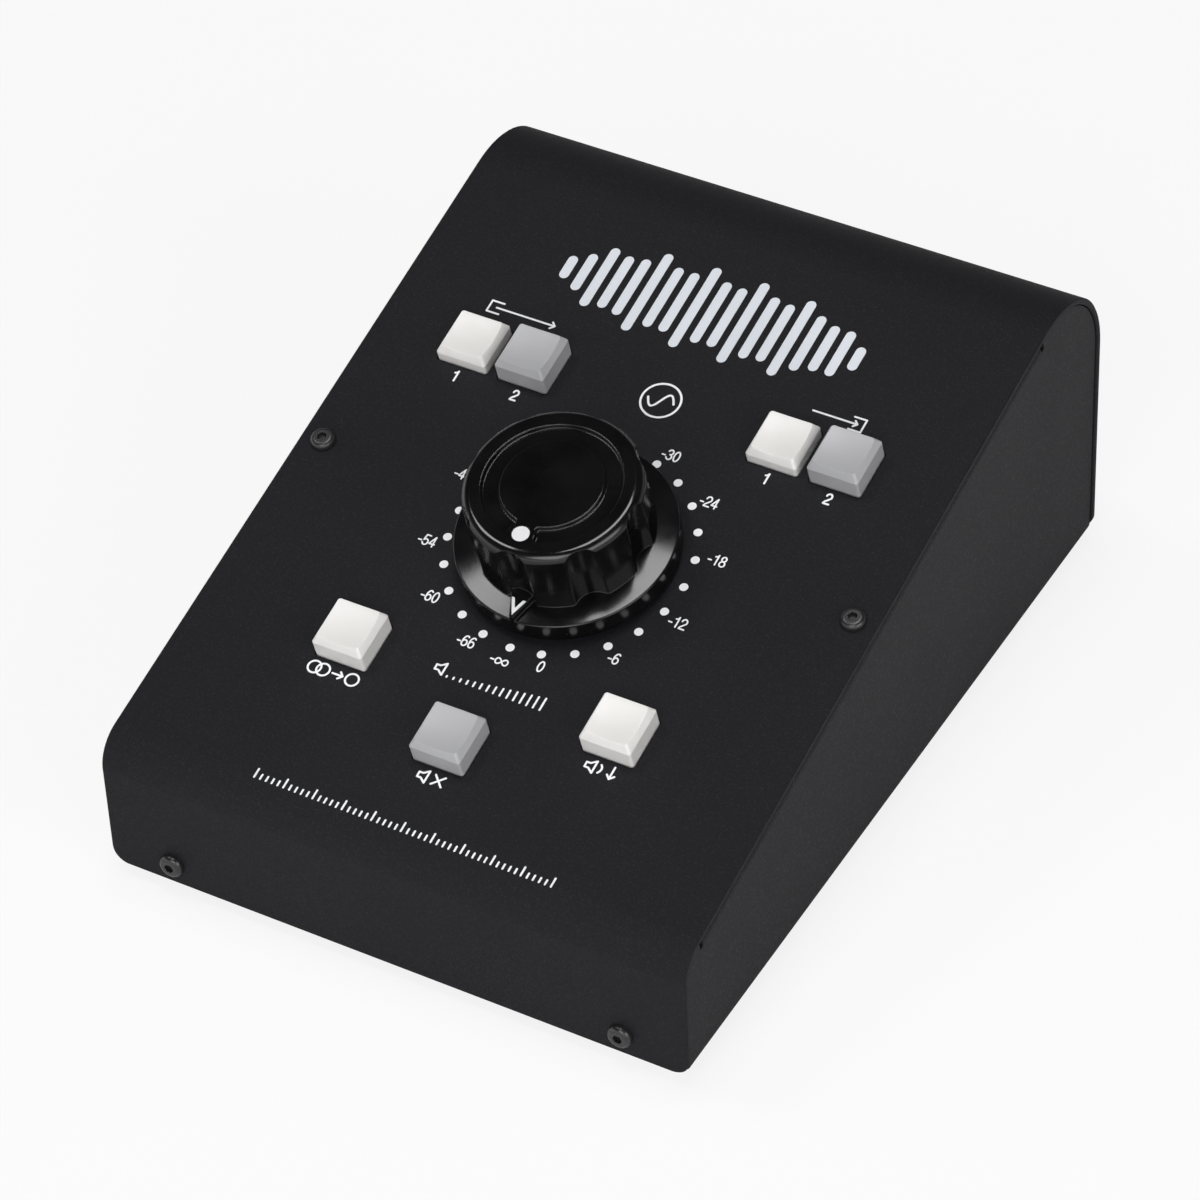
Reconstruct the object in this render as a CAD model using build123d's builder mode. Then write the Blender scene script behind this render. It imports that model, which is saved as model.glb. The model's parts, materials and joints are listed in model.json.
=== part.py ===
from build123d import *
from math import atan2, cos, radians, sin, tan
import os

os.makedirs("parts", exist_ok=True)

# Desktop monitor controller: a sloped sheet-metal box with a stepped level knob, seven push
# buttons on the panel and eight phone jacks on the rear wall. Millimetres, +Z up, +Y to the
# rear. The origin is on the surface it stands on, at the middle of the footprint with the
# front screw heads and the rear jack noses counted in.

# Cover: one sheet bent into front wall, sloped panel and rear wall
case_width = 140.0
case_depth = 192.7
front_height = 32.9  # up to the sharp corner that the front bend rounds
panel_angle = 15.0
cover_sheet = 1.5
front_bend = 8.5  # outside radius
rear_bend = 23.5  # outside radius
wall_corner = 4.0  # rounded lower corners of the end walls
edge_break = 0.3  # deburred and painted cut edges

# Base: floor, two sides with turned-in flanges, and a lip behind each end wall
base_sheet = 1.2
base_gap = 0.25  # between the base and the inside of the cover
side_inset = 0.5  # the sides stand back from the cover's cut edges
side_bend = 2.8  # outside radius of the flange bend under the panel
floor_bend = 2.0  # outside radius
flange_width = 11.0
relief_width = 1.2  # bend relief at each end of a flange
lip_height = 11.0
lip_side_gap = 6.0

# Fasteners, M3
screw_radius = 1.5
screw_length = 6.0
screw_hole_radius = 1.7
head_radius = 2.85
head_height = 1.65
head_round = 1.2
hex_across = 2.0
hex_depth = 1.0
nut_clearance = 0.04
clinch_radius = 1.9
clinch_head_radius = 2.1
clinch_head_height = 1.4
clinch_bend_gap = 0.1  # from a nut's head to the flange bend beside it
slope_screw_s = 87.5
wall_screw_from_side = 15.6
wall_screw_z = 5.4

# Feet
foot_height = 3.0
foot_radius = 6.0
foot_draft = 0.7
foot_recess_radius = 3.4
foot_recess = 2.0
foot_inset = 16.0  # from the cover's side and end edges

# Push buttons: the cap slides in a square opening and sits on a latching switch
cap_width = 12.2
cap_corner = 0.6
cap_side_height = 4.25  # straight side above the panel, released
cap_bevel_height = 2.0
cap_bevel_inset = 1.05
cap_dish_radius = 25.0
cap_dish_depth = 0.95  # below the corners, at the middle
cap_skirt = 3.0  # below the panel face, released
cap_wall = 1.0
cap_roof = 1.6  # under the middle of the dish
cap_clearance = 0.3
button_travel = 3.0
latch_depth = 2.15
socket_wall = 1.1
stem_width = 3.2
stem_clearance = 0.05
pair_from_side = 31.9
pair_pitch = 15.0
pair_s = 122.5
side_button_from_side = 37.8
side_button_s = 44.05
mute_s = 28.8

# Switch bodies on the control board
board_depth = 17.0  # from the panel face down to the board
board_sheet = 1.6
switch_width = 8.5
switch_height = 9.0
switch_wall = 0.9
stem_collar_width = 6.0
stem_collar_height = 2.4
collar_clearance = 0.2

# Control board and its hangers
board_from_side = 14.0
board_front_s = 16.0
board_rear_s = 142.0
hanger_from_edge = 6.0
hanger_front_s = 21.5
hanger_rear_s = 137.0
spacer_radius = 2.75
hanger_clearance = 0.1
plain_nut_across = 5.5
plain_nut_height = 2.4
stud_overhang = 1.0

# Stepped attenuator
dial_s = 82.0
bushing_radius = 5.0
bushing_reach = 5.2  # above the panel face
bushing_edge = 0.5
bushing_hole_clearance = 0.15
shaft_radius = 3.0
shaft_reach = 19.0  # above the panel face
shaft_edge = 0.4
shaft_clearance = 0.05
frame_width = 26.0
frame_corner = 2.0
frame_plate = 1.6
housing_radius = 12.6
housing_wall = 1.4
rotor_radius = 10.6
rotor_sheet = 1.8
rotor_hub_radius = 5.0
rotor_clearance = 0.3
washer_radius = 7.2
washer_sheet = 0.8
bushing_nut_across = 13.0
bushing_nut_height = 2.4

# Knob: fluted grip on a conical skirt
knob_gap = 1.0  # between the panel face and the skirt
skirt_radius = 24.3
skirt_rim_top = 5.9
skirt_slope = 11.0
skirt_edge = 0.4
grip_radius_low = 19.75  # level with the skirt's rim
grip_radius_top = 19.65
grip_top = 23.6
grip_edge = 2.3  # the flutes run out through this round
grip_crease = 0.05  # the round meets the grip's side at a slight angle
flute_count = 8
flute_floor_low = 17.8  # from the knob's axis
flute_floor_top = 18.6
flute_radius_low = 4.9
flute_radius_top = 7.0
ridge_round_low = 0.8  # between neighbouring flutes
ridge_round_top = 1.5
skirt_overlap = 0.4  # of the skirt under the flutes
groove_inner_radius = 11.3
groove_outer_radius = 15.1
groove_depth = 1.0
groove_corner = 0.8
groove_edge = 0.25
dot_offset = 13.85
dot_radius = 1.9
dot_boss_radius = 3.1
inlay_depth = 0.6
inlay_clearance = 0.02
pointer_root = 16.5
pointer_tip = 24.3
pointer_half_width = 3.3
pointer_tip_half_width = 0.45
pointer_root_height = 9.4
pointer_tip_height = 7.3
mark_root = 20.2
mark_half_width = 1.75
mark_stroke = 0.75
mark_tip_margin = 0.5
knob_recess_radius = 21.5
knob_recess = 3.0
nut_recess_radius = 9.0
nut_recess_top = 7.4
insert_radius = 6.0
insert_clearance = 0.02
insert_top = 20.2
set_screw_radius = 2.0
set_screw_length = 5.5
set_screw_height = 14.0
set_screw_hex = 2.0
set_screw_clearance = 0.15

# Rear wall jacks, 6.35 mm
jack_pitch_x = 30.0
jack_columns = 4
jack_row_low_z = 22.0  # above the cover's lower edge
jack_row_high_z = 42.0
jack_body_width = 15.6
jack_body_height = 15.0
jack_body_depth = 24.0
jack_bushing_radius = 4.6
jack_hole_clearance = 0.15
jack_reach = 4.0  # bushing beyond the rear wall
jack_edge = 0.4
jack_bore_radius = 3.2
jack_bore_length = 28.5
jack_nut_across = 12.0
jack_nut_height = 2.4
jack_board_margin = 3.0

# Ribbon between the boards
ribbon_width = 26.0
ribbon_sheet = 1.0
ribbon_bend = 4.0
ribbon_run = 8.0  # straight part out of each header
header_width = 32.0
header_height = 6.0
header_depth = 8.5
header_s = 128.0
header_rear_z = 24.0

slope = radians(panel_angle)
front_y = -(case_depth + jack_reach - head_height) / 2
rear_y = front_y + case_depth
half_width = case_width / 2
side_x = half_width - side_inset
wall_screw_x = half_width - wall_screw_from_side
pair_centre_x = half_width - pair_from_side
side_button_x = half_width - side_button_from_side
board_width = case_width - 2 * board_from_side
hanger_x = board_width / 2 - hanger_from_edge
inner = cover_sheet + base_gap  # outer face of the cover to the outer face of the base
front_tangent = front_bend * tan(radians(90 - panel_angle) / 2)
rear_tangent = rear_bend * tan(radians(90 + panel_angle) / 2)
panel_length = case_depth / cos(slope)
under_panel = -cover_sheet
board_top = -board_depth
slope_screw_x = side_x - side_bend - clinch_head_radius - clinch_bend_gap

# On the panel plane, x runs right, y up the slope from the front corner, and z out of the panel
panel = Plane(
    origin=(0, front_y, foot_height + front_height), x_dir=(1, 0, 0), z_dir=(0, -sin(slope), cos(slope))
)
front_wall = Plane(origin=(0, front_y, foot_height), x_dir=(1, 0, 0), z_dir=(0, -1, 0))
rear_wall = Plane(origin=(0, rear_y, foot_height), x_dir=(-1, 0, 0), z_dir=(0, 1, 0))
underside = Plane(origin=(0, 0, foot_height), x_dir=(1, 0, 0), z_dir=(0, 0, -1))
dial = Plane(panel.from_local_coords((0, dial_s, 0)), x_dir=panel.x_dir, z_dir=panel.z_dir)
dial_section = Plane(dial.origin, x_dir=dial.x_dir, z_dir=-dial.y_dir)  # x is radius, y is height
dial_side = Plane(dial.origin, x_dir=-dial.y_dir, z_dir=-dial.x_dir)  # x towards the pointer
dial_axis = Axis(dial.origin, dial.z_dir)
set_screw_plane = Plane(
    dial.from_local_coords((0, 0, set_screw_height)), x_dir=dial.x_dir, z_dir=dial.y_dir
)

buttons = {
    "output_1": (-pair_centre_x - pair_pitch / 2, pair_s, latch_depth),
    "output_2": (-pair_centre_x + pair_pitch / 2, pair_s, 0.0),
    "input_1": (pair_centre_x - pair_pitch / 2, pair_s, latch_depth),
    "input_2": (pair_centre_x + pair_pitch / 2, pair_s, 0.0),
    "mono": (-side_button_x, side_button_s, 0.0),
    "mute": (0.0, mute_s, 0.0),
    "dim": (side_button_x, side_button_s, 0.0),
}
slope_screw_places = [(-slope_screw_x, slope_screw_s), (slope_screw_x, slope_screw_s)]
wall_screw_places = [(-wall_screw_x, wall_screw_z), (wall_screw_x, wall_screw_z)]
foot_x = half_width - foot_inset
foot_y_front = front_y + foot_inset
foot_y_rear = rear_y - foot_inset
foot_places = {
    "front_left": (-foot_x, foot_y_front),
    "front_right": (foot_x, foot_y_front),
    "rear_left": (-foot_x, foot_y_rear),
    "rear_right": (foot_x, foot_y_rear),
}
foot_screw_places = [(x, -y) for x, y in foot_places.values()]  # y is mirrored on the underside
hanger_places = [(x, s) for x in (-hanger_x, hanger_x) for s in (hanger_front_s, hanger_rear_s)]
jack_columns_x = [(column - (jack_columns - 1) / 2) * jack_pitch_x for column in range(jack_columns)]
jack_places = [(x, z) for z in (jack_row_high_z, jack_row_low_z) for x in jack_columns_x]


def save(builder, label):
    builder.part.label = label
    export_step(builder.part, f"parts/{label}.step")


def wedge_corners(inset, floor_z):
    """Side view of the box, drawn in by inset: front foot, front top, rear top, rear foot."""
    drop = inset / cos(slope)
    front_top = foot_height + front_height + inset * tan(slope) - drop
    rear_top = foot_height + front_height + (case_depth - inset) * tan(slope) - drop
    return [
        (front_y + inset, floor_z),
        (front_y + inset, front_top),
        (rear_y - inset, rear_top),
        (rear_y - inset, floor_z),
    ]


# Cover
with BuildPart() as top_cover:
    with BuildSketch(Plane.YZ):
        with BuildLine():
            outer = FilletPolyline(*wedge_corners(0, foot_height), radius=[front_bend, rear_bend])
            inside = FilletPolyline(
                *wedge_corners(cover_sheet, foot_height),
                radius=[front_bend - cover_sheet, rear_bend - cover_sheet],
            )
            Line(outer @ 0, inside @ 0)
            Line(outer @ 1, inside @ 1)
        make_face()
    extrude(amount=half_width, both=True)
    foot_edges = top_cover.edges().filter_by(Axis.Y).group_by(Axis.Z)[0]
    fillet(foot_edges, wall_corner)
    cut_edges = top_cover.faces().filter_by(Axis.X).edges().filter_by(Axis.Y, reverse=True)
    chamfer(cut_edges, edge_break)
    with BuildSketch(panel):
        for x, s, _ in buttons.values():
            with Locations((x, s)):
                opening = cap_width + 2 * cap_clearance
                RectangleRounded(opening, opening, cap_corner + cap_clearance)
        with Locations((0, dial_s)):
            Circle(bushing_radius + bushing_hole_clearance)
        with Locations(*slope_screw_places):
            Circle(screw_hole_radius)
    extrude(amount=-2 * cover_sheet, mode=Mode.SUBTRACT)
    with BuildSketch(front_wall):
        with Locations(*wall_screw_places):
            Circle(screw_hole_radius)
    extrude(amount=-2 * cover_sheet, mode=Mode.SUBTRACT)
    with BuildSketch(rear_wall):
        with Locations(*wall_screw_places):
            Circle(screw_hole_radius)
        with Locations(*jack_places):
            Circle(jack_bushing_radius + jack_hole_clearance)
    extrude(amount=-2 * cover_sheet, mode=Mode.SUBTRACT)
save(top_cover, "top_cover")

# Base: a U of floor and sides, trimmed to the inside of the cover
flange_start = front_tangent + relief_width
flange_end = panel_length - rear_tangent - relief_width
flange_section = Plane(
    panel.from_local_coords((0, flange_start, 0)), x_dir=panel.x_dir, z_dir=-panel.y_dir
)
clinch_rows = [
    (panel.offset(-inner), slope_screw_places),
    (front_wall.offset(-inner), wall_screw_places),
    (rear_wall.offset(-inner), wall_screw_places),
    (underside, foot_screw_places),
]
with BuildPart() as base_chassis:
    with BuildSketch(Plane.XZ.offset(-rear_y + inner)):
        sides_top = foot_height + front_height + case_depth * tan(slope)
        with BuildLine():
            outer = FilletPolyline(
                (-side_x, sides_top), (-side_x, foot_height), (side_x, foot_height), (side_x, sides_top),
                radius=floor_bend,
            )
            inside = FilletPolyline(
                (-side_x + base_sheet, sides_top),
                (-side_x + base_sheet, foot_height + base_sheet),
                (side_x - base_sheet, foot_height + base_sheet),
                (side_x - base_sheet, sides_top),
                radius=floor_bend - base_sheet,
            )
            Line(outer @ 0, inside @ 0)
            Line(outer @ 1, inside @ 1)
        make_face()
    extrude(amount=case_depth - 2 * inner)
    with BuildSketch(Plane.YZ):
        with BuildLine():
            rim = FilletPolyline(
                *wedge_corners(inner, foot_height), radius=[front_bend - inner, rear_bend - inner]
            )
            Line(rim @ 0, rim @ 1)
        make_face()
    extrude(amount=case_width, both=True, mode=Mode.INTERSECT)
    # Relief and flange along the straight part of the slope
    with BuildSketch(panel.offset(-inner - side_bend)):
        with Locations((0, (flange_start + flange_end) / 2)):
            Rectangle(case_width, flange_end - flange_start + 2 * relief_width)
    extrude(amount=2 * side_bend, mode=Mode.SUBTRACT)
    with BuildSketch(flange_section):
        with BuildLine():
            Line((side_x, -inner - side_bend), (side_x - base_sheet, -inner - side_bend))
            JernArc(
                (side_x - base_sheet, -inner - side_bend), (0, 1), side_bend - base_sheet, 90
            )
            Line(
                (side_x - side_bend, -inner - base_sheet), (side_x - flange_width, -inner - base_sheet)
            )
            Line((side_x - flange_width, -inner - base_sheet), (side_x - flange_width, -inner))
            Line((side_x - flange_width, -inner), (side_x - side_bend, -inner))
            JernArc((side_x, -inner - side_bend), (0, 1), side_bend, 90)
        make_face()
        mirror(about=Plane.YZ)
    extrude(amount=flange_start - flange_end)
    # Lips behind the end walls
    lip_half_width = side_x - lip_side_gap
    for edge_y, inward in ((front_y + inner, 1), (rear_y - inner, -1)):
        with BuildSketch(Plane.YZ):
            with Locations((edge_y + inward * floor_bend / 2, foot_height + base_sheet / 2)):
                Rectangle(floor_bend, base_sheet)
        extrude(amount=lip_half_width, both=True, mode=Mode.SUBTRACT)
        with BuildSketch(Plane.YZ):
            with BuildLine():
                Polyline(
                    (edge_y + inward * floor_bend, foot_height + base_sheet),
                    (edge_y + inward * floor_bend, foot_height),
                )
                RadiusArc(
                    (edge_y + inward * floor_bend, foot_height),
                    (edge_y, foot_height + floor_bend),
                    inward * floor_bend,
                )
                Polyline(
                    (edge_y, foot_height + floor_bend),
                    (edge_y, foot_height + lip_height),
                    (edge_y + inward * base_sheet, foot_height + lip_height),
                    (edge_y + inward * base_sheet, foot_height + floor_bend),
                )
                RadiusArc(
                    (edge_y + inward * base_sheet, foot_height + floor_bend),
                    (edge_y + inward * floor_bend, foot_height + base_sheet),
                    -inward * (floor_bend - base_sheet),
                )
            make_face()
        extrude(amount=lip_half_width, both=True)
    # Holes for the clinch nuts
    for face, places in clinch_rows:
        with BuildSketch(face):
            with Locations(*places):
                Circle(clinch_radius + nut_clearance)
        extrude(amount=-2 * base_sheet, mode=Mode.SUBTRACT)
save(base_chassis, "base_chassis")


# Fasteners
def button_screws(label, face, places):
    """Button-head hex socket screws standing on a face, shanks along its inward normal."""
    face_axis = Axis(face.origin, face.z_dir)
    with BuildPart(face) as screws:
        with Locations(*places):
            Cylinder(head_radius, head_height, align=(Align.CENTER, Align.CENTER, Align.MIN))
        fillet(screws.edges().filter_by(GeomType.CIRCLE).group_by(face_axis)[-1], head_round)
        with BuildSketch(face.offset(head_height)):
            with Locations(*places):
                RegularPolygon(hex_across / 2, 6, major_radius=False)
        extrude(amount=-hex_depth, mode=Mode.SUBTRACT)
        with Locations(*places):
            Cylinder(screw_radius, screw_length, align=(Align.CENTER, Align.CENTER, Align.MAX))
    save(screws, label)


button_screws("slope_screws", panel, slope_screw_places)
button_screws("front_screws", front_wall, wall_screw_places)
button_screws("rear_screws", rear_wall, wall_screw_places)
button_screws("foot_screws", underside.offset(foot_height - foot_recess), foot_screw_places)

with BuildPart() as clinch_nuts:
    for face, places in clinch_rows:
        with BuildSketch(face):
            with Locations(*places):
                Circle(clinch_radius)
        extrude(amount=-base_sheet)
        with BuildSketch(face.offset(-base_sheet)):
            with Locations(*places):
                Circle(clinch_head_radius)
        extrude(amount=-clinch_head_height)
        with BuildSketch(face):
            with Locations(*places):
                Circle(screw_radius + nut_clearance)
        extrude(amount=-base_sheet - clinch_head_height, mode=Mode.SUBTRACT)
save(clinch_nuts, "clinch_nuts")

# Feet: tapered rubber, the screw head sunk in the recess
for corner, (foot_at_x, foot_at_y) in foot_places.items():
    foot_plane = Plane(
        origin=(foot_at_x, foot_at_y, foot_height), x_dir=(1, 0, 0), z_dir=(0, 0, -1)
    )
    with BuildPart(foot_plane) as foot:
        Cone(
            foot_radius, foot_radius - foot_draft, foot_height,
            align=(Align.CENTER, Align.CENTER, Align.MIN),
        )
        with Locations((0, 0, foot_height)):
            CounterBoreHole(screw_radius + hanger_clearance, foot_recess_radius, foot_recess)
    save(foot, f"foot_{corner}")

# Control board, hung under the panel on welded studs
board_middle_s = (board_front_s + board_rear_s) / 2
with BuildPart() as control_board:
    with BuildSketch(panel.offset(board_top)):
        with Locations((0, board_middle_s)):
            Rectangle(board_width, board_rear_s - board_front_s)
        with Locations(*hanger_places):
            Circle(screw_radius + hanger_clearance, mode=Mode.SUBTRACT)
    extrude(amount=-board_sheet)
save(control_board, "control_board")

with BuildPart() as board_studs:
    with BuildSketch(panel.offset(under_panel)):
        with Locations(*hanger_places):
            Circle(screw_radius)
    stud_length = board_depth + board_sheet + plain_nut_height + stud_overhang - cover_sheet
    extrude(amount=-stud_length)
save(board_studs, "board_studs")

with BuildPart() as board_spacers:
    with BuildSketch(panel.offset(under_panel)):
        with Locations(*hanger_places):
            Circle(spacer_radius)
            Circle(screw_radius + hanger_clearance, mode=Mode.SUBTRACT)
    extrude(amount=board_top - under_panel)
save(board_spacers, "board_spacers")

with BuildPart() as board_nuts:
    with BuildSketch(panel.offset(board_top - board_sheet)):
        with Locations(*hanger_places):
            RegularPolygon(plain_nut_across / 2, 6, major_radius=False)
            Circle(screw_radius + nut_clearance, mode=Mode.SUBTRACT)
    extrude(amount=-plain_nut_height)
save(board_nuts, "board_nuts")


# Push buttons
def on_panel(x, s, h=0.0):
    return Plane(panel.from_local_coords((x, s, h)), x_dir=panel.x_dir, z_dir=panel.z_dir)


cap_height = cap_side_height + cap_bevel_height
bevel_drawn = cap_bevel_height + cap_dish_depth / 2  # past the rim, so that the dish alone ends it
cap_ceiling = cap_height - cap_dish_depth - cap_roof
stem_socket_width = stem_width + 2 * stem_clearance
stem_top = cap_ceiling - stem_clearance
switch_top = board_top + switch_height
collar_top = switch_top - switch_wall - collar_clearance


def button_cap(label, seat):
    """Square cap with a bevelled rim and a dished top; seat is the panel face at its middle."""
    drawn_width = cap_width - 2 * cap_bevel_inset * bevel_drawn / cap_bevel_height
    inside_width = cap_width - 2 * cap_wall
    with BuildPart(seat) as cap:
        with BuildSketch(seat.offset(-cap_skirt)):
            RectangleRounded(cap_width, cap_width, cap_corner)
        extrude(amount=cap_skirt + cap_side_height)
        with BuildSketch(seat.offset(cap_side_height)):
            RectangleRounded(cap_width, cap_width, cap_corner)
        with BuildSketch(seat.offset(cap_side_height + bevel_drawn)):
            RectangleRounded(drawn_width, drawn_width, cap_corner)
        loft()
        with Locations((0, 0, cap_height - cap_dish_depth + cap_dish_radius)):
            Sphere(cap_dish_radius, rotation=(90, 0, 0), mode=Mode.SUBTRACT)
        with BuildSketch(seat.offset(-cap_skirt)):
            Rectangle(inside_width, inside_width)
            Rectangle(stem_socket_width + 2 * socket_wall, stem_socket_width + 2 * socket_wall,
                      mode=Mode.SUBTRACT)
            Rectangle(stem_socket_width, stem_socket_width)
        extrude(amount=cap_skirt + cap_ceiling, mode=Mode.SUBTRACT)
    save(cap, label)


def switch_body(label, seat):
    """Housing on the board with a chamber for the stem's collar and an opening for the stem."""
    chamber_width = stem_collar_width + 2 * collar_clearance
    chamber_depth = button_travel + stem_collar_height + 2 * collar_clearance
    opening = stem_width + 2 * collar_clearance
    with BuildPart() as switch:
        with BuildSketch(seat.offset(board_top)):
            Rectangle(switch_width, switch_width)
        extrude(amount=switch_height)
        with BuildSketch(seat.offset(switch_top - switch_wall)):
            Rectangle(chamber_width, chamber_width)
        extrude(amount=-chamber_depth, mode=Mode.SUBTRACT)
        with BuildSketch(seat.offset(switch_top)):
            Rectangle(opening, opening)
        extrude(amount=-switch_wall, mode=Mode.SUBTRACT)
    save(switch, label)


def button_stem(label, seat):
    """Stem from the collar in the switch up into the cap's socket."""
    with BuildPart() as stem:
        with BuildSketch(seat.offset(collar_top)):
            Rectangle(stem_collar_width, stem_collar_width)
        extrude(amount=-stem_collar_height)
        with BuildSketch(seat.offset(collar_top)):
            Rectangle(stem_width, stem_width)
        extrude(amount=stem_top - collar_top)
    save(stem, label)


for name, (x, s, pressed) in buttons.items():
    button_cap(f"cap_{name}", on_panel(x, s, -pressed))
    button_stem(f"stem_{name}", on_panel(x, s, -pressed))
    switch_body(f"switch_{name}", on_panel(x, s))

# Stepped attenuator: frame and bushing, housing, rotor and shaft
with BuildPart(dial) as attenuator_frame:
    with BuildSketch(dial.offset(under_panel)):
        RectangleRounded(frame_width, frame_width, frame_corner)
    extrude(amount=-frame_plate)
    with BuildSketch(dial.offset(under_panel)):
        Circle(bushing_radius)
    extrude(amount=bushing_reach - under_panel)
    chamfer(attenuator_frame.edges().group_by(dial_axis)[-1], bushing_edge)
    with BuildSketch(dial.offset(bushing_reach)):
        Circle(shaft_radius + shaft_clearance)
    extrude(amount=under_panel - frame_plate - bushing_reach, mode=Mode.SUBTRACT)
save(attenuator_frame, "attenuator_frame")

housing_top = under_panel - frame_plate
housing_floor = board_top + housing_wall
with BuildPart(dial) as attenuator_housing:
    with BuildSketch(dial.offset(board_top)):
        Circle(housing_radius)
    extrude(amount=housing_top - board_top)
    with BuildSketch(dial.offset(housing_floor)):
        Circle(housing_radius - housing_wall)
    extrude(amount=housing_top - housing_floor, mode=Mode.SUBTRACT)
save(attenuator_housing, "attenuator_housing")

rotor_top = housing_top - rotor_clearance
rotor_bottom = housing_floor + rotor_clearance
with BuildPart(dial) as attenuator_rotor:
    with BuildSketch(dial.offset(rotor_bottom)):
        Circle(rotor_hub_radius)
    extrude(amount=rotor_top - rotor_bottom)
    with BuildSketch(dial.offset((rotor_top + rotor_bottom - rotor_sheet) / 2)):
        Circle(rotor_radius)
    extrude(amount=rotor_sheet)
    with BuildSketch(dial.offset(rotor_bottom)):
        Circle(shaft_radius + insert_clearance)
    extrude(amount=rotor_top - rotor_bottom, mode=Mode.SUBTRACT)
save(attenuator_rotor, "attenuator_rotor")

with BuildPart(dial) as attenuator_shaft:
    with BuildSketch(dial.offset(rotor_bottom)):
        Circle(shaft_radius)
    extrude(amount=shaft_reach - rotor_bottom)
    chamfer(attenuator_shaft.edges().group_by(dial_axis)[-1], shaft_edge)
save(attenuator_shaft, "attenuator_shaft")

with BuildPart(dial) as attenuator_washer:
    with BuildSketch(dial):
        Circle(washer_radius)
        Circle(bushing_radius + bushing_hole_clearance, mode=Mode.SUBTRACT)
    extrude(amount=washer_sheet)
save(attenuator_washer, "attenuator_washer")

with BuildPart(dial) as attenuator_nut:
    with BuildSketch(dial.offset(washer_sheet)):
        RegularPolygon(bushing_nut_across / 2, 6, major_radius=False)
        Circle(bushing_radius + nut_clearance, mode=Mode.SUBTRACT)
    extrude(amount=bushing_nut_height)
save(attenuator_nut, "attenuator_nut")

# Knob: the wedge under the pointer mark, then the moulding
pointer_tilt = atan2(pointer_root_height - pointer_tip_height, pointer_tip - pointer_root)
pointer_face = Plane(
    dial.from_local_coords((0, -pointer_tip, pointer_tip_height)),
    x_dir=dial.x_dir,
    z_dir=dial.z_dir * cos(pointer_tilt) - dial.y_dir * sin(pointer_tilt),
)
mark_length = (pointer_tip - mark_root) / cos(pointer_tilt)
mark_inner_tip = mark_tip_margin + mark_stroke * (mark_length - mark_tip_margin) / mark_half_width
mark_outline = [
    (-mark_half_width, mark_length),
    (0, mark_tip_margin),
    (mark_half_width, mark_length),
    (mark_half_width - mark_stroke, mark_length),
    (0, mark_inner_tip),
    (-mark_half_width + mark_stroke, mark_length),
]

with BuildPart() as pointer_wedge:
    with BuildSketch(dial_side):
        Polygon(
            (pointer_root, skirt_rim_top - skirt_edge),
            (pointer_tip, skirt_rim_top - skirt_edge),
            (pointer_tip, pointer_tip_height),
            (pointer_root, pointer_root_height),
            align=None,
        )
    extrude(amount=2 * pointer_half_width, both=True)
    with BuildSketch(dial):
        Polygon(
            (-pointer_half_width, -pointer_root),
            (-pointer_tip_half_width, -pointer_tip),
            (pointer_tip_half_width, -pointer_tip),
            (pointer_half_width, -pointer_root),
            align=None,
        )
    extrude(amount=grip_top, mode=Mode.INTERSECT)


def grip_outline(ridge_radius, floor_radius, flute_radius, ridge_round):
    """Circle with flutes round it and rounded ridges between them."""
    with BuildSketch() as outline:
        Circle(ridge_radius)
        with PolarLocations(floor_radius + flute_radius, flute_count, start_angle=-90):
            Circle(flute_radius, mode=Mode.SUBTRACT)
        fillet(outline.vertices(), ridge_round)
    return outline.sketch


grip_low = grip_outline(grip_radius_low, flute_floor_low, flute_radius_low, ridge_round_low)
grip_high = grip_outline(grip_radius_top, flute_floor_top, flute_radius_top, ridge_round_top)
skirt_inner_radius = flute_floor_low - skirt_overlap
skirt_inner_top = skirt_rim_top + (skirt_radius - skirt_inner_radius) * tan(radians(skirt_slope))
with BuildPart(dial) as knob_body:
    with BuildSketch(dial.offset(skirt_rim_top)):
        add(grip_low)
    with BuildSketch(dial.offset(grip_top)):
        add(grip_high)
    loft(ruled=True)
    with BuildSketch(dial_section) as grip_corner:
        with Locations((grip_radius_top + grip_crease - grip_edge, grip_top - grip_edge)):
            Rectangle(2 * grip_edge, grip_edge, align=Align.MIN)
            Circle(grip_edge, mode=Mode.SUBTRACT)
    revolve(axis=dial_axis, mode=Mode.SUBTRACT)
    with BuildSketch(dial_section):
        Polygon(
            (0, knob_gap),
            (skirt_radius, knob_gap),
            (skirt_radius, skirt_rim_top),
            (skirt_inner_radius, skirt_inner_top),
            (0, skirt_inner_top),
            align=None,
        )
    revolve(axis=dial_axis)
    rim_edges = knob_body.edges().filter_by(GeomType.CIRCLE)
    fillet(rim_edges.filter_by(lambda edge: edge.radius > skirt_radius - skirt_edge / 2), skirt_edge)
    with BuildSketch(dial.offset(grip_top)) as groove:
        Circle(groove_outer_radius)
        Circle(groove_inner_radius, mode=Mode.SUBTRACT)
        with Locations((0, -dot_offset)):
            Circle(dot_boss_radius, mode=Mode.SUBTRACT)
        fillet(groove.vertices(), groove_corner)
    extrude(amount=-groove_depth, mode=Mode.SUBTRACT)
    fillet(knob_body.edges(Select.LAST).filter_by(dial), groove_edge)
    with BuildSketch(dial.offset(grip_top)):
        with Locations((0, -dot_offset)):
            Circle(dot_radius + inlay_clearance)
    extrude(amount=-inlay_depth, mode=Mode.SUBTRACT)
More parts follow.
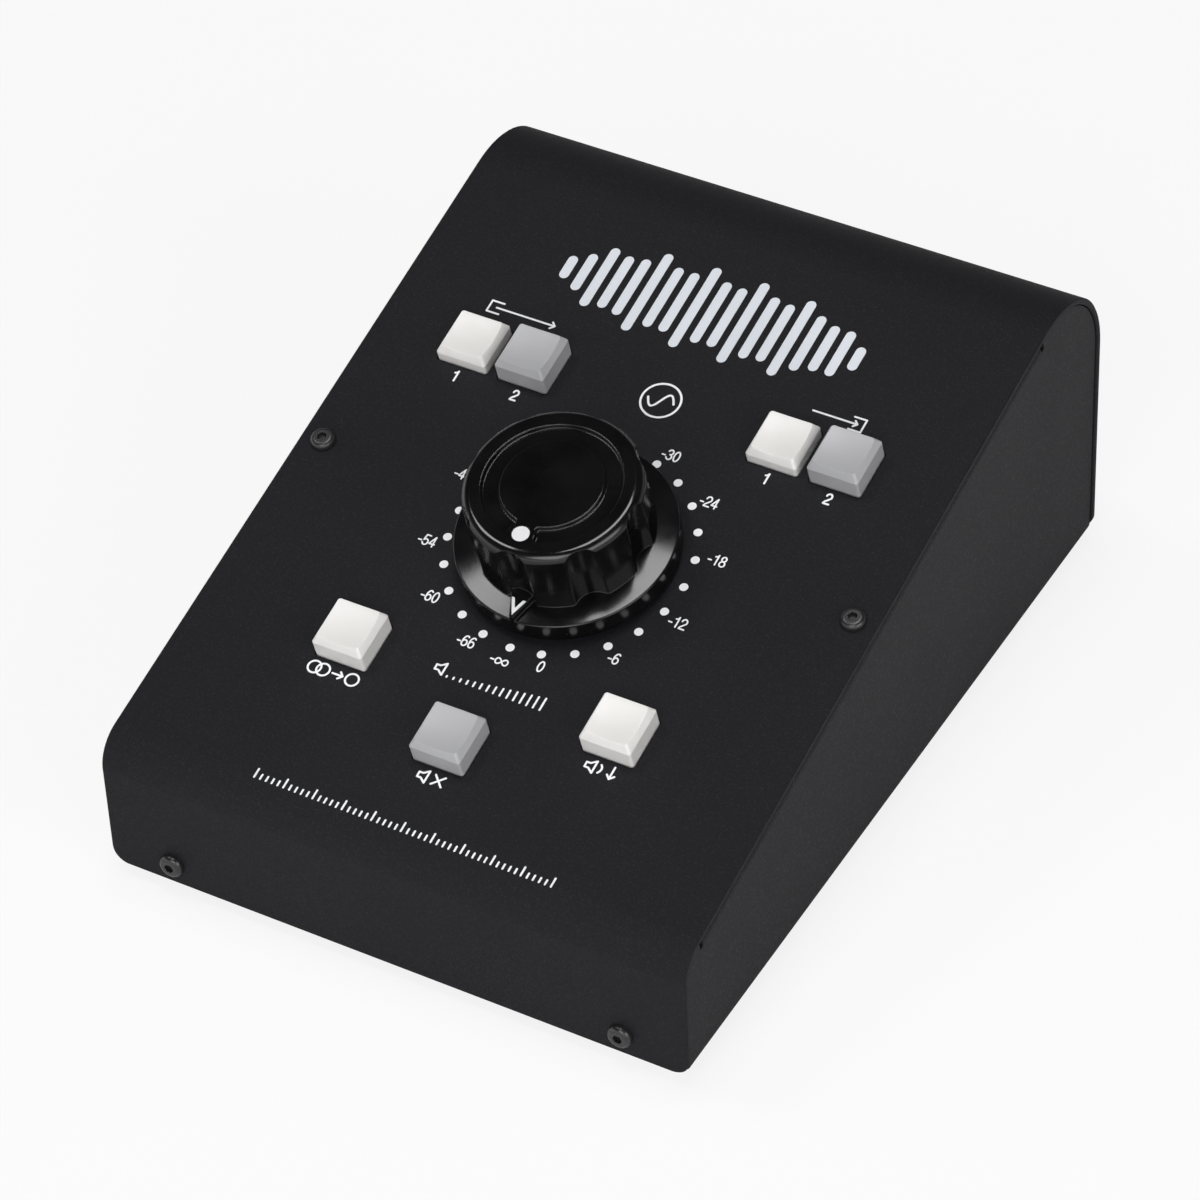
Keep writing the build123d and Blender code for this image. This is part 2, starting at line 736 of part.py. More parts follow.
with BuildPart() as knob:
    add(knob_body.part)
    add(pointer_wedge.part)
    with BuildSketch(pointer_face):
        Polygon(*mark_outline, align=None)
    extrude(amount=-inlay_depth, mode=Mode.SUBTRACT)
    with BuildSketch(dial.offset(knob_gap)):
        Circle(knob_recess_radius)
    extrude(amount=knob_recess, mode=Mode.SUBTRACT)
    with BuildSketch(dial.offset(knob_gap)):
        Circle(nut_recess_radius)
    extrude(amount=nut_recess_top - knob_gap, mode=Mode.SUBTRACT)
    with BuildSketch(dial.offset(nut_recess_top)):
        Circle(insert_radius + insert_clearance)
    extrude(amount=insert_top - nut_recess_top, mode=Mode.SUBTRACT)
    with BuildSketch(set_screw_plane):
        Circle(set_screw_radius + set_screw_clearance)
    extrude(amount=grip_radius_low, mode=Mode.SUBTRACT)
save(knob, "knob")

with BuildPart() as knob_insert:
    with BuildSketch(dial.offset(nut_recess_top)):
        Circle(insert_radius)
    extrude(amount=insert_top - nut_recess_top)
    with BuildSketch(dial.offset(nut_recess_top)):
        Circle(shaft_radius + insert_clearance)
    extrude(amount=shaft_reach - nut_recess_top + insert_clearance, mode=Mode.SUBTRACT)
    with BuildSketch(set_screw_plane):
        Circle(set_screw_radius + nut_clearance)
    extrude(amount=insert_radius, mode=Mode.SUBTRACT)
save(knob_insert, "knob_insert")

with BuildPart() as knob_set_screw:
    with BuildSketch(set_screw_plane.offset(shaft_radius)):
        Circle(set_screw_radius)
    extrude(amount=set_screw_length)
    with BuildSketch(set_screw_plane.offset(shaft_radius + set_screw_length)):
        RegularPolygon(set_screw_hex / 2, 6, major_radius=False)
    extrude(amount=-set_screw_hex, mode=Mode.SUBTRACT)
save(knob_set_screw, "knob_set_screw")

with BuildPart() as knob_dot:
    with BuildSketch(dial.offset(grip_top - inlay_depth)):
        with Locations((0, -dot_offset)):
            Circle(dot_radius)
    extrude(amount=inlay_depth + inlay_clearance)
save(knob_dot, "knob_dot")

with BuildPart() as knob_mark:
    with BuildSketch(pointer_face.offset(-inlay_depth)):
        Polygon(*mark_outline, align=None)
    extrude(amount=inlay_depth + inlay_clearance)
save(knob_mark, "knob_mark")


# Rear jacks
def jack(label, seat):
    """Body behind the rear wall, bushing through it; seat is the wall's outer face on the axis."""
    with BuildPart() as body:
        with BuildSketch(seat.offset(under_panel)):
            Rectangle(jack_body_width, jack_body_height)
        extrude(amount=-jack_body_depth)
        with BuildSketch(seat.offset(under_panel)):
            Circle(jack_bushing_radius)
        extrude(amount=jack_reach - under_panel)
        chamfer(body.edges().group_by(Axis(seat.origin, seat.z_dir))[-1], jack_edge)
        with BuildSketch(seat.offset(jack_reach)):
            Circle(jack_bore_radius)
        extrude(amount=-jack_bore_length, mode=Mode.SUBTRACT)
    save(body, label)


jack_names = [
    "jack_input_1_left", "jack_input_1_right", "jack_input_2_left", "jack_input_2_right",
    "jack_output_1_left", "jack_output_1_right", "jack_output_2_left", "jack_output_2_right",
]
for name, (x, z) in zip(jack_names, jack_places):
    seat = Plane(rear_wall.from_local_coords((x, z, 0)), x_dir=rear_wall.x_dir, z_dir=rear_wall.z_dir)
    jack(name, seat)

with BuildPart() as jack_nuts:
    with BuildSketch(rear_wall):
        with Locations(*jack_places):
            RegularPolygon(jack_nut_across / 2, 6, major_radius=False)
            Circle(jack_bushing_radius + nut_clearance, mode=Mode.SUBTRACT)
    extrude(amount=jack_nut_height)
save(jack_nuts, "jack_nuts")

jack_board_face = rear_wall.offset(-cover_sheet - jack_body_depth)
jack_board_width = (jack_columns - 1) * jack_pitch_x + jack_body_width + 2 * jack_board_margin
jack_board_height = jack_row_high_z - jack_row_low_z + jack_body_height + 2 * jack_board_margin
with BuildPart() as jack_board:
    with BuildSketch(jack_board_face):
        with Locations((0, (jack_row_low_z + jack_row_high_z) / 2)):
            Rectangle(jack_board_width, jack_board_height)
    extrude(amount=-board_sheet)
save(jack_board, "jack_board")

# Ribbon and its two headers
header_on_board = Plane(
    panel.from_local_coords((0, header_s, board_top - board_sheet)),
    x_dir=panel.x_dir,
    z_dir=-panel.z_dir,
)
header_on_jacks = Plane(
    jack_board_face.offset(-board_sheet).from_local_coords((0, header_rear_z, 0)),
    x_dir=panel.x_dir,
    z_dir=(0, -1, 0),
)
with BuildPart() as ribbon_headers:
    for header_face in (header_on_board, header_on_jacks):
        with BuildSketch(header_face):
            Rectangle(header_width, header_height)
        extrude(amount=header_depth)
save(ribbon_headers, "ribbon_headers")

ribbon_start = header_on_board.offset(header_depth)
ribbon_end = header_on_jacks.offset(header_depth)
with BuildPart() as ribbon_cable:
    with BuildLine():
        FilletPolyline(
            ribbon_start.origin,
            ribbon_start.offset(ribbon_run).origin,
            ribbon_end.offset(ribbon_run).origin,
            ribbon_end.origin,
            radius=ribbon_bend,
        )
    with BuildSketch(ribbon_start):
        Rectangle(ribbon_width, ribbon_sheet)
    sweep()
save(ribbon_cable, "ribbon_cable")
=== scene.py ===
import json
import math
import bpy
from mathutils import Matrix, Vector


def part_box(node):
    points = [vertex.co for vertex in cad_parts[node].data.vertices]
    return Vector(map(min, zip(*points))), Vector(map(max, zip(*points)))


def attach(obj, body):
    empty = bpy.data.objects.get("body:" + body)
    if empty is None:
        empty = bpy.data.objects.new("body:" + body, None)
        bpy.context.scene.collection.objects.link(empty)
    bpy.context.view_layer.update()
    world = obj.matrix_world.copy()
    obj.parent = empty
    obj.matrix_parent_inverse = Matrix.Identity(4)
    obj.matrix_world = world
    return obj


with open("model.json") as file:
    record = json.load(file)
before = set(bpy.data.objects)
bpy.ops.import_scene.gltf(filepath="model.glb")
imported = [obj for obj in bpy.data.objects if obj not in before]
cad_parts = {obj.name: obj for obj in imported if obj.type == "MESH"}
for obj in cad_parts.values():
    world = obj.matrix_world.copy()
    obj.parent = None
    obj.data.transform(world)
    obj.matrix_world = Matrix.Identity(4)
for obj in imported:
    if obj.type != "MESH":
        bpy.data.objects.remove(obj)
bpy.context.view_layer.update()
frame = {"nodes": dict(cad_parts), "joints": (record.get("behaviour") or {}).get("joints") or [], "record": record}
nodes = frame["nodes"]
mm = 0.001
white = (1.0, 1.0, 1.0, 1.0)

# The panel's own axes, taken from the knob's joint: right, up the slope, out of the panel
dialJoint = next(joint for joint in frame["joints"] if joint["name"] == "level_turn")
dialCentre = Vector(dialJoint["pos_m"])
panelOut = Vector(dialJoint["axis"]).normalized()
panelRight = Vector((1.0, 0.0, 0.0))
panelUp = panelOut.cross(panelRight)


# Pose of the dial's middle on the panel, raised by some mm
def panelPose(height):
    pose = Matrix((panelRight, panelUp, panelOut)).transposed().to_4x4()
    pose.translation = dialCentre + panelOut * height * mm
    return pose


def addObject(name, data):
    item = bpy.data.objects.new(name, data)
    bpy.context.scene.collection.objects.link(item)
    return item


# Camera
view = {
    "place": (0.448999, -0.753132, 0.806748),
    "aim": (0.006594, -0.018236, 0.045112),
    "roll": -2.723,  # degrees
    "lens": 161.845,
    "sensor": 36.0,
    "clip": (0.05, 50.0),
}


def placeCamera(settings):
    lens = bpy.data.cameras.new("camera")
    lens.lens = settings["lens"]
    lens.sensor_width = settings["sensor"]
    lens.clip_start = settings["clip"][0]
    lens.clip_end = settings["clip"][1]
    camera = addObject("camera", lens)
    place = Vector(settings["place"])
    aimed = (Vector(settings["aim"]) - place).to_track_quat("-Z", "Y").to_matrix().to_4x4()
    rolled = Matrix.Rotation(math.radians(settings["roll"]), 4, "Z")
    camera.matrix_world = Matrix.Translation(place) @ aimed @ rolled
    bpy.context.scene.camera = camera


placeCamera(view)
print("camera placed")


# Adds a node; its inputs are linked where they are given a socket, and set where they are given a value
def addNode(tree, kind, inputs=None, **settings):
    node = tree.nodes.new(kind)
    for label, value in settings.items():
        setattr(node, label, value)
    for key, value in (inputs or {}).items():
        if isinstance(value, bpy.types.NodeSocket):
            tree.links.new(value, node.inputs[key])
        else:
            node.inputs[key].default_value = value
    return node


def mathNode(tree, operation, first, second, clamp=False):
    inputs = {0: first, 1: second}
    return addNode(tree, "ShaderNodeMath", inputs, operation=operation, use_clamp=clamp).outputs[0]


def vectorNode(tree, operation, *values):
    node = addNode(tree, "ShaderNodeVectorMath", dict(enumerate(values)), operation=operation)
    return node.outputs["Value" if operation in ("DOT_PRODUCT", "LENGTH") else "Vector"]


def noiseNode(tree, vector, scale, detail=2.0, rough=0.5):
    inputs = {"Vector": vector, "Scale": scale, "Detail": detail, "Roughness": rough}
    return addNode(tree, "ShaderNodeTexNoise", inputs).outputs["Fac"]


# Smooth step of a value from one span to another
def rampNode(tree, value, low, high, outLow=0.0, outHigh=1.0):
    inputs = {"Value": value, "From Min": low, "From Max": high, "To Min": outLow, "To Max": outHigh}
    return addNode(tree, "ShaderNodeMapRange", inputs, interpolation_type="SMOOTHSTEP").outputs["Result"]


# Light: soft boxes that face the dial; toward is the way to each from the dial, sizes are in metres
boxes = {
    "left": {"toward": (-0.58, -0.06, 1.0), "distance": 1.5, "width": 0.37, "length": 0.33, "strength": 7.7},
    "above": {"toward": (-0.02, 0.04, 1.0), "distance": 1.6, "width": 0.47, "length": 0.78, "strength": 7.7},
    "key": {"toward": (0.2, -1.0, 0.74), "distance": 1.6, "width": 0.9, "length": 0.7, "strength": 4.4},
    "right": {"toward": (0.85, -0.35, 0.45), "distance": 1.5, "width": 0.7, "length": 1.1, "strength": 3.6},
}


# An area lamp that faces the dial; strength is its brightness where the object mirrors it
def softBox(name, settings):
    away = Vector(settings["toward"]).normalized()
    lamp = bpy.data.lights.new(name + "Box", "AREA")
    lamp.shape = "RECTANGLE"
    lamp.size = settings["width"]
    lamp.size_y = settings["length"]
    lamp.energy = settings["strength"] * math.pi * lamp.size * lamp.size_y
    across = Vector((0.0, 1.0, 0.0)).cross(away).normalized()
    turn = Matrix((across, away.cross(across), away)).transposed().to_4x4()
    spot = Matrix.Translation(dialCentre + away * settings["distance"])
    addObject(name + "Box", lamp).matrix_world = spot @ turn


# Walls: strengths of the dim and the bright side, for the light they give and for what is mirrored of them
room = {
    "bright": (-0.55, -0.84, 0.0), "brightSpan": (-0.3, 0.6), "heightSpan": (0.05, 0.5), "ceiling": 0.04,
    "lit": (0.45, 1.6), "mirrored": (0.6, 1.7),
}


# Walls that fade into a dark ceiling, brightest to the front and left: one strength for the light they give,
# one for what gloss and glass show of them, and white where the camera looks past the object
def buildRoom(settings):
    world = bpy.data.worlds.new("room")
    bpy.context.scene.world = world
    world.use_nodes = True
    tree = world.node_tree
    tree.nodes.clear()
    direction = addNode(tree, "ShaderNodeTexCoord").outputs["Generated"]
    facing = vectorNode(tree, "DOT_PRODUCT", direction, settings["bright"])
    height = addNode(tree, "ShaderNodeSeparateXYZ", {"Vector": direction}).outputs["Z"]
    shades = []
    for key in ("lit", "mirrored"):
        wall = rampNode(tree, facing, *settings["brightSpan"], *settings[key])
        strength = rampNode(tree, height, *settings["heightSpan"], wall, settings["ceiling"])
        shades.append(addNode(tree, "ShaderNodeBackground", {"Color": white, "Strength": strength}))
    seen = addNode(tree, "ShaderNodeBackground", {"Color": white})
    path = addNode(tree, "ShaderNodeLightPath").outputs
    glossy = mathNode(tree, "ADD", path["Is Glossy Ray"], path["Is Transmission Ray"])
    result = shades[0].outputs[0]
    for factor, shade in ((glossy, shades[1]), (path["Is Camera Ray"], seen)):
        mix = addNode(tree, "ShaderNodeMixShader", {0: factor, 1: result, 2: shade.outputs[0]})
        result = mix.outputs[0]
    addNode(tree, "ShaderNodeOutputWorld", {"Surface": result})


ground = {"reach": 6.0, "colour": 0.9, "glow": 0.82}  # glow is the share of white that the camera sees


def buildFloor(settings):
    mesh = bpy.data.meshes.new("floor")
    reach = settings["reach"]
    square = [(-reach, -reach, 0), (reach, -reach, 0), (reach, reach, 0), (-reach, reach, 0)]
    mesh.from_pydata(square, [], [(0, 1, 2, 3)])
    floor = addObject("floor", mesh)
    material = bpy.data.materials.new("paleFloor")
    material.use_nodes = True
    tree = material.node_tree
    tree.nodes.clear()
    matt = addNode(tree, "ShaderNodeBsdfDiffuse", {"Color": (settings["colour"],) * 3 + (1.0,)})
    glow = addNode(tree, "ShaderNodeEmission")
    seen = addNode(tree, "ShaderNodeLightPath").outputs["Is Camera Ray"]
    share = mathNode(tree, "MULTIPLY", seen, settings["glow"])
    mix = addNode(tree, "ShaderNodeMixShader", {0: share, 1: matt.outputs[0], 2: glow.outputs[0]})
    addNode(tree, "ShaderNodeOutputMaterial", {"Surface": mix.outputs[0]})
    mesh.materials.append(material)


for boxName, boxSettings in boxes.items():
    softBox(boxName, boxSettings)
buildRoom(room)
buildFloor(ground)
print("room and lamps built")


# Shader group with named sockets: each input has a starting value, and every output is a single value
def newGroup(name, inputs, outputs):
    group = bpy.data.node_groups.new(name, "ShaderNodeTree")
    for label, start in inputs.items():
        kind = "NodeSocketVector" if isinstance(start, tuple) else "NodeSocketFloat"
        group.interface.new_socket(label, in_out="INPUT", socket_type=kind).default_value = start
    for label in outputs:
        group.interface.new_socket(label, in_out="OUTPUT", socket_type="NodeSocketFloat")
    return group, group.nodes.new("NodeGroupInput").outputs


# Fine, slow and line hold a noise's detail and roughness
grainNoise = {"fine": (2.0, 0.6), "slow": (4.0, 0.55), "patchSpan": (0.3, 0.7)}


# Fine grain height, and slow patches over the surface
def grainGroup(noise):
    tree, given = newGroup("surfaceGrain", {"Grain Size": 0.0004, "Patch Size": 0.03}, ("Height", "Patches"))
    place = addNode(tree, "ShaderNodeTexCoord").outputs["Object"]
    fine = noiseNode(tree, place, mathNode(tree, "DIVIDE", 1.0, given["Grain Size"]), *noise["fine"])
    slow = noiseNode(tree, place, mathNode(tree, "DIVIDE", 1.0, given["Patch Size"]), *noise["slow"])
    patches = rampNode(tree, slow, *noise["patchSpan"])
    addNode(tree, "NodeGroupOutput", {"Height": fine, "Patches": patches})
    return tree


scuffNoise = {
    "turn": (0.5, 0.9, 0.7), "line": (1.0, 0.4), "limit": 0.74, "perCover": 0.2, "edge": 0.05,
    "areaScale": 70.0, "areaSpan": (0.5, 0.7),
}


# Mask of hairline scuffs that run one way, in some areas only
def scuffGroup(noise):
    tree, given = newGroup("hairScuffs", {"Length": 0.02, "Width": 0.00025, "Cover": 0.2}, ("Mask",))
    place = addNode(tree, "ShaderNodeTexCoord").outputs["Object"]
    turned = addNode(tree, "ShaderNodeMapping", {"Vector": place, "Rotation": noise["turn"]})
    along = mathNode(tree, "DIVIDE", 1.0, given["Length"])
    across = mathNode(tree, "DIVIDE", 1.0, given["Width"])
    stretch = addNode(tree, "ShaderNodeCombineXYZ", {"X": along, "Y": across, "Z": across})
    scaled = vectorNode(tree, "MULTIPLY", turned.outputs["Vector"], stretch.outputs["Vector"])
    lines = noiseNode(tree, scaled, 1.0, *noise["line"])
    lower = mathNode(tree, "MULTIPLY", given["Cover"], noise["perCover"])
    limit = mathNode(tree, "SUBTRACT", noise["limit"], lower)
    drawn = rampNode(tree, lines, limit, mathNode(tree, "ADD", limit, noise["edge"]))
    area = rampNode(tree, noiseNode(tree, place, noise["areaScale"]), *noise["areaSpan"])
    addNode(tree, "NodeGroupOutput", {"Mask": mathNode(tree, "MULTIPLY", drawn, area)})
    return tree


dustNoise = {
    "upSpan": (0.3, 1.0), "speckScale": 2600.0, "speckSpan": (0.66, 0.72),
    "hazeScale": 90.0, "hazeDetail": 4.0, "hazeSpan": (0.35, 0.75), "haze": 0.35,
}


# Mask of dust on faces that look up
def dustGroup(noise):
    tree, given = newGroup("fallenDust", {"Amount": 0.2}, ("Mask",))
    place = addNode(tree, "ShaderNodeTexCoord").outputs["Object"]
    normal = addNode(tree, "ShaderNodeNewGeometry").outputs["Normal"]
    facing = addNode(tree, "ShaderNodeSeparateXYZ", {"Vector": normal}).outputs["Z"]
    upward = rampNode(tree, facing, *noise["upSpan"])
    specks = rampNode(tree, noiseNode(tree, place, noise["speckScale"]), *noise["speckSpan"])
    cloud = noiseNode(tree, place, noise["hazeScale"], noise["hazeDetail"])
    haze = rampNode(tree, cloud, *noise["hazeSpan"], 0.0, noise["haze"])
    amount = mathNode(tree, "MULTIPLY", mathNode(tree, "MAXIMUM", specks, haze), given["Amount"])
    addNode(tree, "NodeGroupOutput", {"Mask": mathNode(tree, "MULTIPLY", amount, upward)})
    return tree


# Radius from an axis and height along it, in metres
def dialGroup():
    sockets = {"Centre": tuple(dialCentre), "Axis": tuple(panelOut)}
    tree, given = newGroup("aroundAxis", sockets, ("Radius", "Height"))
    place = addNode(tree, "ShaderNodeTexCoord").outputs["Object"]
    offset = vectorNode(tree, "SUBTRACT", place, given["Centre"])
    height = vectorNode(tree, "DOT_PRODUCT", offset, given["Axis"])
    radius = vectorNode(tree, "LENGTH", vectorNode(tree, "CROSS_PRODUCT", offset, given["Axis"]))
    addNode(tree, "NodeGroupOutput", {"Radius": radius, "Height": height})
    return tree


groups = {
    "grain": grainGroup(grainNoise),
    "scuffs": scuffGroup(scuffNoise),
    "dust": dustGroup(dustNoise),
    "dial": dialGroup(),
}
print("shader groups built")

# Finishes, one row of values each; sizes in metres
plain = {
    "colour": (0.5, 0.5, 0.5), "patchColour": None, "rough": 0.45, "roughSpread": 0.05, "metal": 0.0,
    "specular": 0.5, "coat": 0.0, "grain": 0.0004, "patch": 0.03, "bump": 0.1, "bumpDepth": 0.00002,
    "speckle": 0.0, "soften": 0.0, "scuff": 0.0, "dust": 0.0, "milky": 0.0,
}
finishes = {
    "cover_paint": {"colour": (0.0028, 0.0028, 0.0044), "patchColour": (0.0032, 0.0032, 0.0048), "rough": 0.7,
                    "roughSpread": 0.02, "specular": 0.28, "grain": 0.00045, "patch": 0.06, "bump": 0.9,
                    "bumpDepth": 0.00003, "speckle": 0.9, "soften": 0.0002, "dust": 0.001},
    "base_paint": {"colour": (0.0105, 0.0105, 0.0122), "patchColour": (0.011, 0.011, 0.0127), "rough": 0.7,
                   "roughSpread": 0.02, "specular": 0.23, "grain": 0.00045, "patch": 0.06, "bump": 0.9,
                   "bumpDepth": 0.00003, "speckle": 0.9, "soften": 0.0002},
    "black_screw": {"colour": (0.012, 0.012, 0.013), "rough": 0.3, "specular": 0.6, "grain": 0.0002,
                    "bump": 0.12, "scuff": 0.4, "soften": 0.0001},
    "zinc": {"colour": (0.55, 0.56, 0.57), "rough": 0.35, "metal": 1.0, "grain": 0.0003},
    "rubber": {"colour": (0.012, 0.012, 0.012), "rough": 0.8, "specular": 0.3, "grain": 0.0005, "bump": 0.3,
               "speckle": 0.3, "soften": 0.0003},
    "board": {"colour": (0.012, 0.09, 0.035), "patchColour": (0.015, 0.12, 0.05), "rough": 0.3, "coat": 0.3,
              "grain": 0.0012, "patch": 0.004},
    "cap_white": {"colour": (0.80, 0.79, 0.77), "patchColour": (0.81, 0.80, 0.78), "rough": 0.42,
                  "milky": 0.4, "grain": 0.0005, "bump": 0.06, "dust": 0.02, "soften": 0.0002},
    "cap_grey": {"colour": (0.41, 0.41, 0.43), "patchColour": (0.425, 0.425, 0.44), "rough": 0.42,
                 "grain": 0.0005, "bump": 0.06, "dust": 0.02, "soften": 0.0002},
    "stem_plastic": {"colour": (0.7, 0.7, 0.68), "rough": 0.5},
    "switch_plastic": {"colour": (0.02, 0.02, 0.02), "rough": 0.5},
    "attenuator_metal": {"colour": (0.62, 0.6, 0.56), "rough": 0.3, "metal": 1.0},
    "attenuator_plastic": {"colour": (0.03, 0.03, 0.03), "rough": 0.5},
    "brass": {"colour": (0.72, 0.5, 0.2), "rough": 0.28, "metal": 1.0},
    "mark_white": {"colour": (0.74, 0.74, 0.75), "rough": 0.45, "bump": 0.05},
    "jack_plastic": {"colour": (0.014, 0.014, 0.014), "rough": 0.42, "grain": 0.0006, "bump": 0.2,
                     "speckle": 0.2, "soften": 0.0002},
    "jack_nut": {"colour": (0.68, 0.67, 0.65), "rough": 0.22, "metal": 1.0, "scuff": 0.5, "soften": 0.0003},
    "ribbon": {"colour": (0.35, 0.35, 0.36), "rough": 0.5},
    "header_plastic": {"colour": (0.02, 0.02, 0.02), "rough": 0.5},
    "panelInk": {"colour": (0.82, 0.82, 0.83), "rough": 0.5, "grain": 0.0003, "bump": 0.08, "specular": 0.4},
    "paleInk": {"colour": (0.66, 0.69, 0.74), "patchColour": (0.72, 0.75, 0.80), "rough": 0.5,
                "grain": 0.0003, "patch": 0.05, "bump": 0.08, "specular": 0.4},
    "contactMetal": {"colour": (0.66, 0.63, 0.57), "rough": 0.25, "metal": 1.0, "grain": 0.0003,
                     "scuff": 0.3},
}
# Effects, the same in all finishes; patch, fleck and scuff hold a gain and a lift of the row's colour
effects = {
    "patch": (1.12, 0.002), "fleck": (3.0, 0.003), "fleckSpan": (0.5, 0.72),
    "scuff": (1.6, 0.02), "scuffRough": 0.15, "dustColour": (0.55, 0.53, 0.5), "dustRough": 0.4,
    "milkReach": (1.0, 1.0, 1.0), "milkDepth": 0.002, "softenSamples": 6,
}
made = {}


# Output sockets of a shader group placed in a tree with its own values
def useGroup(tree, key, inputs=None):
    return addNode(tree, "ShaderNodeGroup", inputs, node_tree=groups[key]).outputs


# Mix of two colours, each given as a socket or as three values
def mixColour(tree, factor, first, second):
    node = addNode(tree, "ShaderNodeMix", {"Factor": factor}, data_type="RGBA")
    sockets = [socket for socket in node.inputs if socket.type == "RGBA"]
    for socket, value in zip(sockets, (first, second)):
        if isinstance(value, tuple):
            socket.default_value = value + (1.0,)
        else:
            tree.links.new(value, socket)
    return next(socket for socket in node.outputs if socket.type == "RGBA")


def lifted(colour, gain, lift):
    return tuple(min(1.0, part * gain + lift) for part in colour)


# A material from one row: patchy colour, speckle, uneven gloss, milkiness, grain, soft edges, scuffs and dust
def makeFinish(name, changes):
    look = {**plain, **changes}
    material = bpy.data.materials.new(name)
    material.use_nodes = True
    tree = material.node_tree
    surface = tree.nodes["Principled BSDF"].inputs
    surface["Metallic"].default_value = look["metal"]
    surface["Specular IOR Level"].default_value = look["specular"]
    surface["Coat Weight"].default_value = look["coat"]
    surface["Subsurface Weight"].default_value = look["milky"]
    surface["Subsurface Radius"].default_value = effects["milkReach"]
    surface["Subsurface Scale"].default_value = effects["milkDepth"]
    grain = useGroup(tree, "grain", {"Grain Size": look["grain"], "Patch Size": look["patch"]})
    second = look["patchColour"] or lifted(look["colour"], *effects["patch"])
    colour = mixColour(tree, grain["Patches"], look["colour"], second)
    if look["speckle"]:
        flecks = rampNode(tree, grain["Height"], *effects["fleckSpan"], 0.0, look["speckle"])
        colour = mixColour(tree, flecks, colour, lifted(look["colour"], *effects["fleck"]))
    dullest = look["rough"] + look["roughSpread"]
    rough = rampNode(tree, grain["Patches"], 0.0, 1.0, look["rough"] - look["roughSpread"], dullest)
    if look["scuff"]:
        scuffs = useGroup(tree, "scuffs", {"Cover": look["scuff"]})["Mask"]
        colour = mixColour(tree, scuffs, colour, lifted(look["colour"], *effects["scuff"]))
        rough = mathNode(tree, "ADD", rough, mathNode(tree, "MULTIPLY", scuffs, effects["scuffRough"]))
    if look["dust"]:
        dust = useGroup(tree, "dust", {"Amount": look["dust"]})["Mask"]
        colour = mixColour(tree, dust, colour, effects["dustColour"])
        settled = mathNode(tree, "MULTIPLY", dust, effects["dustRough"])
        rough = mathNode(tree, "ADD", rough, settled, clamp=True)
    tree.links.new(colour, surface["Base Color"])
    tree.links.new(rough, surface["Roughness"])
    bump = {"Strength": look["bump"], "Distance": look["bumpDepth"], "Height": grain["Height"]}
    if look["soften"]:
        edges = addNode(tree, "ShaderNodeBevel", {"Radius": look["soften"]}, samples=effects["softenSamples"])
        bump["Normal"] = edges.outputs["Normal"]
    tree.links.new(addNode(tree, "ShaderNodeBump", bump).outputs["Normal"], surface["Normal"])
    made[name] = material
    return material


# Spans are metres of height and radius about the knob's axis; faceUp holds cosines to that axis
knobLook = {
    "finish": {"colour": (0.0018, 0.0018, 0.0019), "rough": 0.09, "roughSpread": 0.02, "specular": 0.5,
               "grain": 0.004, "patch": 0.012, "bump": 0.03, "scuff": 0.15, "dust": 0.008, "soften": 0.0003},
    "sideRough": 0.19, "skirtRough": 0.12, "belowSpan": (0.0085, 0.0081), "outsideSpan": (0.017, 0.0174),
    "faceUp": (0.93, 0.95), "blast": 0.00028, "blastDepth": 0.0000025,
}


# Polished black moulding, a little duller at its sides; the upper face of its skirt is finely blasted
def makeKnobFinish(name, look):
    tree = makeFinish(name, look["finish"]).node_tree
    surface = tree.nodes["Principled BSDF"].inputs
    polished = surface["Roughness"].links[0].from_socket
    softened = surface["Normal"].links[0].from_socket
    dial = useGroup(tree, "dial")
    below = rampNode(tree, dial["Height"], *look["belowSpan"])
    outside = rampNode(tree, dial["Radius"], *look["outsideSpan"])
    normal = addNode(tree, "ShaderNodeNewGeometry").outputs["True Normal"]
    upward = rampNode(tree, vectorNode(tree, "DOT_PRODUCT", normal, tuple(panelOut)), *look["faceUp"])
    skirt = mathNode(tree, "MULTIPLY", mathNode(tree, "MULTIPLY", below, outside), upward)
    blast = useGroup(tree, "grain", {"Grain Size": look["blast"]})["Height"]
    uneven = mathNode(tree, "MULTIPLY", mathNode(tree, "SUBTRACT", blast, 0.5), skirt)
    aside = mathNode(tree, "SUBTRACT", 1.0, upward)
    extra = mathNode(tree, "MULTIPLY", skirt, look["skirtRough"] - look["finish"]["rough"])
    for mask, gain in ((uneven, look["skirtRough"]), (aside, look["sideRough"] - look["finish"]["rough"])):
        extra = mathNode(tree, "ADD", extra, mathNode(tree, "MULTIPLY", mask, gain))
    tree.links.new(mathNode(tree, "ADD", polished, extra), surface["Roughness"])
    pits = {"Strength": skirt, "Distance": look["blastDepth"], "Height": blast, "Normal": softened}
    tree.links.new(addNode(tree, "ShaderNodeBump", pits).outputs["Normal"], surface["Normal"])


for finishName, finishValues in finishes.items():
    makeFinish(finishName, finishValues)
makeKnobFinish("knob_gloss", knobLook)
slotOf = {row["node"]: row["material_slot"] for row in frame["record"]["subparts"]}
for nodeName, cadNode in nodes.items():
    cadNode.data.materials.clear()
    cadNode.data.materials.append(made[slotOf[nodeName]])
print("finishes assigned to", len(nodes), "CAD nodes")

socketKinds = {float: "NodeSocketFloat", int: "NodeSocketInt", type(None): "NodeSocketMaterial"}
facets = {"strokeEnd": 24, "dot": 32, "wire": 8, "ridge": 64, "sleeve": 48}  # sides of each round shape
endShare = 0.9  # depth of a stroke's round ends against the stroke's, so that no two faces coincide


